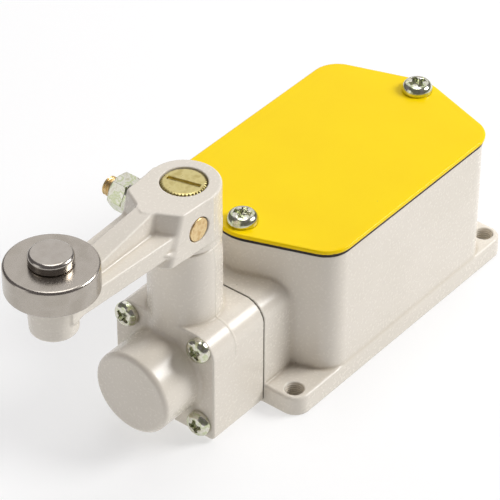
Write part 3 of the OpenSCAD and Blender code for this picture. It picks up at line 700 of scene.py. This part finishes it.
def shaft_field(x, y, z):
    """The shaft: serrated above, plain below, with a slot and the bolt's scallop."""
    u, r = x - shaft_x, np.hypot(x - shaft_x, y)
    step_z = lever_lo[2]
    teeth = r - spline_r + TOOTH_H - TOOTH_H * np.cos(TEETH * np.arctan2(y, u))
    bevel = (r - spline_r + 0.8 - 1.6 * (shaft_hi[2] - z)) / 1.89
    upper = meet(meet(teeth, slab(z, step_z, shaft_hi[2]), 0.1), bevel, 0.2)
    lower = rod(u, y, z, SHAFT_R, shaft_lo[2], step_z + 1, 0.3)
    turn = math.radians(SLOT_TURN)
    along, across = u * math.cos(turn) + y * math.sin(turn), y * math.cos(turn) - u * math.sin(turn)
    groove = meet(slab(across, -SLOT_W / 2, SLOT_W / 2), slab(along, -SLOT_L / 2, SLOT_L / 2), 0.3)
    groove = meet(groove, shaft_hi[2] - 1 - z, 0.3)
    shape = cut(join(upper, lower, 0.01), groove, 0.2)
    return cut(shape, rod(x - bolt_x, z - bolt_z, y, bolt_r + 0.1, -30, 30), 0.1)


show(solid("shaft_turned", shaft_field, shaft_lo, shaft_hi, 0.2, (shaft_x, 0, 0)),
     brass, "lever", "lever_shaft",
     place=Matrix.Translation(Vector((shaft_x, 0, 0)) * MM))

# %% [markdown]
# ## Screws
#
# All the screws are pan heads with a cross recess: a domed disc with two crossed tapered slots.
# One mesh serves every screw of a size, turned a different way at each hole.

# %% Pan-head screws


def screw_mesh(name, d, head_d, head_h, length, pitch):
    """A pan-head screw along Z, its head's underside at zero."""
    def field(x, y, z):
        r = np.hypot(x, y)
        dome = np.sqrt(np.maximum(r * r + (z - head_h + head_d * 1.1) ** 2, 1e-9)) - head_d * 1.1
        head = meet(meet(r - head_d / 2, -z, 0.25), dome, 0.3 * head_d / 2)
        depth = (head_h - z) / head_h
        wing = 0.29 * head_d - 0.12 * head_d * depth
        arm = 0.085 * head_d - 0.01 * head_d * depth
        cross = np.minimum(np.maximum(np.abs(x) - wing, np.abs(y) - arm),
                           np.maximum(np.abs(y) - wing, np.abs(x) - arm))
        cross = np.minimum(cross, r - 0.17 * head_d + 0.12 * head_d * depth)
        cross = np.maximum(cross, 0.38 * head_h - z)
        thread = r - 0.42 * d - 0.03 * d * np.cos(2 * np.pi * z / pitch - np.arctan2(y, x))
        shank = meet(thread, slab(z, -length, 0.5), 0.3)
        return join(cut(head, cross, 0.12), shank, 0.15)

    reach = head_d / 2
    return solid(name, field, (-reach, -reach, -length), (reach, reach, head_h), 0.04 * head_d)


cover_screw = screw_mesh("cover_screw", 5, 9.5, 3.4, 12, 0.8)
for label, sx, turn in [("front", COVER_SCREW_X[0], 20), ("rear", COVER_SCREW_X[1], 65)]:
    place = (Matrix.Translation(Vector((sx, 0, cover_hi[2])) * MM)
             @ Matrix.Rotation(math.radians(turn), 4, "Z"))
    show(cover_screw, zinc, "housing", "cover_screws", f"cover_screw_{label}", place)

head_screw = screw_mesh("head_screw", 4, 7.9, 3.1, 31, 0.7)
for label, sy, sz, turn in [("near_low", -HEAD_SCREW_Y, HEAD_SCREW_Z[0], 10),
                            ("near_high", -HEAD_SCREW_Y, HEAD_SCREW_Z[1], 35),
                            ("far_low", HEAD_SCREW_Y, HEAD_SCREW_Z[0], 70),
                            ("far_high", HEAD_SCREW_Y, HEAD_SCREW_Z[1], 50)]:
    place = (Matrix.Translation(Vector((FACE_X, sy, sz)) * MM)
             @ Matrix.Rotation(-math.pi / 2, 4, "Y") @ Matrix.Rotation(math.radians(turn), 4, "Z"))
    show(head_screw, zinc, "housing", "head_screws", f"head_screw_{label}", place)

# %% [markdown]
# ## Clamp bolt, washer and nut
#
# The bolt is turned brass: a plain barrel, then an M6 thread; the scallop for the serrations is cut in the
# shaft.
# The nut is cold-formed, with both faces chamfered, and the spring washer under it is cut through
# at a slant so that its two ends bite.

# %% Bolt, washer and nut
NUT_FLATS, STUD_R, WASHER_R, WASHER_GAP = 10.0, 3.0, 5.9, 0.7
nut_mid, nut_half = (nut_lo[1] + nut_hi[1]) / 2, (nut_hi[1] - nut_lo[1]) / 2


def nut_field(x, y, z):
    """A hexagon nut with both faces chamfered."""
    u, w = x - bolt_x, z - bolt_z
    flats = [np.abs(u * math.cos(t) + w * math.sin(t)) for t in (math.pi / 6, math.pi / 2, 5 * math.pi / 6)]
    hexagon = np.maximum(np.maximum(flats[0], flats[1]), flats[2]) - NUT_FLATS / 2
    face = np.abs(y - nut_mid) - nut_half
    cone = (np.hypot(u, w) - 0.47 * NUT_FLATS) * 0.5 + face * 0.866
    shape = meet(meet(hexagon, face, 0.1), cone, 0.15)
    return cut(shape, np.hypot(u, w) - STUD_R - 0.02 - 0.3 * np.maximum(0, face + 0.7), 0.1)


def washer_field(x, y, z):
    """A spring washer, slit on the side that faces down."""
    u, w = x - bolt_x, z - bolt_z
    ring = rod(u, w, y, WASHER_R, washer_lo[1], washer_hi[1], 0.25)
    ring = cut(ring, np.hypot(u, w) - STUD_R - 0.1, 0.2)
    slit = slab(u + 0.4 * (y - washer_lo[1]), 0, WASHER_GAP)
    return cut(ring, np.maximum(slit, w), 0.1)


def bolt_field(x, y, z):
    """The clamp bolt: a plain barrel and a threaded stud."""
    u, w = x - bolt_x, z - bolt_z
    barrel = rod(u, w, y, bolt_r, bolt_lo[1], 3.9, 0.35)
    thread = 0.26 * np.cos(2 * np.pi * y - np.arctan2(w, u)) * (y > 10)
    stud = meet(np.hypot(u, w) - STUD_R + 0.26 - thread, slab(y, 3, bolt_hi[1]), 0.6)
    return join(barrel, stud, 0.1)


bolt_centre = (bolt_x, 0, bolt_z)
for name, field, low, high, finish, slot, node in [
        ("nut_formed", nut_field, nut_lo, nut_hi, zinc, "zinc_fasteners", "clamp_nut"),
        ("washer_split", washer_field, washer_lo, washer_hi, zinc, "zinc_fasteners", "clamp_washer"),
        ("bolt_turned", bolt_field, bolt_lo, bolt_hi, cut_brass, "brass", "clamp_bolt")]:
    show(solid(name, field, low, high, 0.2, bolt_centre), finish, "lever", node,
         place=Matrix.Translation(Vector(bolt_centre) * MM))

# %% [markdown]
# ## Springs
#
# Two springs of round wire push on the plunger from opposite ends and bring the lever back to the
# middle. The end coils are closed so that they sit flat. In the switch, as the plunger slides, one
# end of a spring stays with the housing and the other goes with the plunger; here each coil is a
# fixed mesh that rides on neither.

# %% Coiled springs
WIRE_R, COIL_R, COILS = 0.6, 5.4, 6


def coil(name, low, high):
    """Round wire wound along X from low to high, its first and last turns closed."""
    steps, sides = 48 * COILS, 12
    t = np.linspace(0, 1, steps + 1)
    closed = 1 / COILS
    open_part = np.clip((t - closed) / (1 - 2 * closed), 0, 1)
    run = high - low - 2 * WIRE_R - 4 * WIRE_R
    centre_x = low + WIRE_R + 2 * WIRE_R * (np.minimum(t, closed) + np.maximum(t - 1 + closed, 0)) / closed
    centre_x = centre_x + run * open_part
    turn = 2 * np.pi * COILS * t[:, None]
    around = 2 * np.pi * np.arange(sides) / sides
    reach = COIL_R + WIRE_R * np.cos(around)
    points = np.stack([centre_x[:, None] + WIRE_R * np.sin(around), reach * np.cos(turn),
                       plunger_z + reach * np.sin(turn)], -1).reshape(-1, 3)
    pairs = [(k, (k + 1) % sides) for k in range(sides)]
    quads = [(i * sides + k, i * sides + n, (i + 1) * sides + n, (i + 1) * sides + k)
             for i in range(steps) for k, n in pairs]
    ends = [list(range(sides))[::-1], [steps * sides + k for k in range(sides)]]
    mesh = bpy.data.meshes.new(name)
    mesh.from_pydata((points * MM).tolist(), [], quads + ends)
    mesh.polygons.foreach_set("use_smooth", np.ones(len(mesh.polygons), bool))
    return mesh


for node, start_x, end_x in [("return_spring", spring_lo[0], spring_hi[0]),
                             ("counter_spring", counter_hi[0], counter_lo[0])]:
    wire = coil(node + "_wire", min(start_x, end_x), max(start_x, end_x))
    piece = bpy.data.objects.new(node + "_wire", wire)
    bpy.context.scene.collection.objects.link(piece)
    piece.data.materials.append(spring_wire)
    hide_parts(node)
    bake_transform(piece)
    print(node, "from", round(start_x, 1), "to", round(end_x, 1), "mm")

# %% [markdown]
# ## Threads in the body
#
# The mounting holes show fine ribs, and the cable entry is tapped M20 x 1.5. Each is a thin sleeve
# of ribs that stands in a hole which the casting leaves a little wide.

# %% Ribs in the holes


def ribs(name, radius, depth, length, pitch):
    """The inner surface of a tapped hole along Z: crests at radius, roots depth further out."""
    around, along = 48, max(int(length / pitch * 8), 8)
    angle = 2 * np.pi * np.arange(around) / around
    rise = np.linspace(0, length, along + 1)[:, None]
    wave = np.abs(((rise / pitch - angle / (2 * np.pi)) % 1) * 2 - 1)
    r = radius + depth * wave
    points = np.stack([r * np.cos(angle), r * np.sin(angle), rise + 0 * angle], -1).reshape(-1, 3)
    pairs = [(k, (k + 1) % around) for k in range(around)]
    quads = [(i * around + k, (i + 1) * around + k, (i + 1) * around + n, i * around + n)
             for i in range(along) for k, n in pairs]
    mesh = bpy.data.meshes.new(name)
    mesh.from_pydata((points * MM).tolist(), [], quads)
    return mesh


hole_ribs = ribs("hole_ribs", hole_r, RIB_DEPTH, FLANGE_T - 0.8, 0.8)
for label, hx, hy in [("a", -hole_x, -hole_y), ("b", hole_x, -hole_y),
                      ("c", hole_x, hole_y), ("d", -hole_x, hole_y)]:
    show(hole_ribs, cast_enamel, "housing", "body_housing", f"hole_ribs_{label}",
         Matrix.Translation(Vector((hx, hy, 0.4)) * MM))
entry_ribs = ribs("entry_ribs", entry_r, ENTRY_DEPTH, ENTRY_RUN, 1.5)
show(entry_ribs, bare_casting, "housing", "body_housing",
     place=(Matrix.Translation(Vector((ENTRY_START, 0, entry_z)) * MM)
            @ Matrix.Rotation(math.pi / 2, 4, "Y")))

# %% [markdown]
# ## Pieces that keep their CAD shape
#
# The bushes, seal, crank, plunger and contact set sit inside and are already the right shape. They
# need only a finish: sintered bronze, rubber, turned steel, phenolic and copper.

# %% Finish the CAD nodes that already have their shape
FINISHES = {
    "cover_gasket": rubber, "head_gasket": seam_shade_rubber, "shaft_seal": rubber,
    "upper_bush": bronze, "lower_bush": bronze, "rod_bush": bronze, "roller_bush": bronze,
    "thrust_washer": bronze, "spring_seat": brass, "contact_base_screws": zinc, "terminal_screws": zinc,
    "terminal_clamps": zinc, "earth_screw": zinc,
    "crank_disc": polished_steel, "crank_pin": polished_steel, "crank_cross_pin": polished_steel,
    "plunger": polished_steel, "carriage_pin": polished_steel,
    "carriage": phenolic, "contact_base": phenolic,
    "contact_bridges": copper, "nc_contacts": copper, "no_contacts": copper,
}
for node, finish in FINISHES.items():
    kept = frame["nodes"][node]
    kept.data.materials.clear()
    kept.data.materials.append(finish)
print(len(FINISHES), "nodes keep their CAD shape")

# %% [markdown]
# ## Studio
#
# The switch stands on a plain pale floor. The floor glows faintly, as a light table does, except
# in the middle, where the base covers it. It is a grid of nine faces, so that the middle one can
# have its own material.

# %% Floor
FLOOR_EDGE, COVERED_X, COVERED_Y, FLOOR_Z = 6.0, 0.0508, 0.0288, -0.0001
floor_mesh = bpy.data.meshes.new("floor")
floor_x = (-FLOOR_EDGE, -COVERED_X, COVERED_X, FLOOR_EDGE)
floor_y = (-FLOOR_EDGE, -COVERED_Y, COVERED_Y, FLOOR_EDGE)
floor_mesh.from_pydata([(x, y, FLOOR_Z) for y in floor_y for x in floor_x], [],
                       [(i, i + 1, i + 5, i + 4) for i in (0, 1, 2, 4, 5, 6, 8, 9, 10)])
floor = bpy.data.objects.new("floor", floor_mesh)
bpy.context.scene.collection.objects.link(floor)
for name, glow in [("pale_floor", 0.54), ("covered_floor", 0.0)]:
    pale = start(name, {"Base Color": grey(0.45), "Roughness": 0.9, "Specular IOR Level": 0.1,
                        "Emission Color": grey(1), "Emission Strength": glow})[0]
    floor_mesh.materials.append(pale)
floor_mesh.polygons[4].material_index = 1
print("floor faces:", len(floor_mesh.polygons))

# %% [markdown]
# ### Lights
#
# A softbox on the right does most of the work and puts the bright line on every edge. A wide one
# behind gives the metal tops something to reflect, a weak low one on the left keeps the shaded
# sides open, and one overhead lifts the tops.

# %% Softboxes and room light


def softbox(name, azimuth, height, distance, size, watts, aim=(-0.03, 0, 0.03)):
    """An area light at an azimuth measured from -Y towards +X, aimed at the switch."""
    lamp = bpy.data.lights.new(name, "AREA")
    lamp.shape, lamp.size, lamp.energy = "DISK", size, watts
    a = math.radians(azimuth)
    spot = Vector((math.sin(a) * distance, -math.cos(a) * distance, height))
    box = bpy.data.objects.new(name, lamp)
    box.location = spot
    box.rotation_euler = (spot - Vector(aim)).to_track_quat("Z", "Y").to_euler()
    bpy.context.scene.collection.objects.link(box)
    return box


softbox("key", 46, 1.0, 1.25, 0.75, 20)
softbox("behind", 128, 0.95, 1.2, 1.9, 7)
softbox("low_left", -115, 0.4, 1.3, 0.8, 1.4)
softbox("overhead", 128, 1.6, 0.25, 0.9, 6.5)

world = bpy.data.worlds.new("studio")
world.use_nodes = True
world.node_tree.nodes["Background"].inputs["Color"].default_value = (1.0, 0.94, 0.98, 1.0)
world.node_tree.nodes["Background"].inputs["Strength"].default_value = 0.17
bpy.context.scene.world = world
bpy.context.scene.view_settings.view_transform = "Standard"

print("lights:", len(bpy.data.lights))

# %% [markdown]
# ### Camera
#
# The camera looks down on the switch from beyond the roller. A long lens from 0.9 m keeps the
# edges nearly parallel.

# %% Camera
AZIMUTH, ELEVATION, ROLL, DISTANCE = -51.468, 37.713, 0.262, 0.9
aim = Vector((-0.01922, 0.01372, 0.02108))
a, e, r = (math.radians(v) for v in (AZIMUTH, ELEVATION, ROLL))
back = Vector((math.sin(a) * math.cos(e), -math.cos(a) * math.cos(e), math.sin(e)))
level = Vector((math.cos(a), math.sin(a), 0))
right = level * math.cos(r) + back.cross(level) * math.sin(r)
lens = bpy.data.cameras.new("camera")
lens.lens, lens.sensor_width, lens.clip_start, lens.clip_end = 214.62, 36.0, 0.05, 50.0
camera = bpy.data.objects.new("camera", lens)
camera.matrix_world = Matrix.Translation(aim + back * DISTANCE) @ Matrix(
    (right, back.cross(right), back)).transposed().to_4x4()
bpy.context.scene.collection.objects.link(camera)
bpy.context.scene.camera = camera
print("camera at", [round(v, 3) for v in camera.matrix_world.translation], "m")
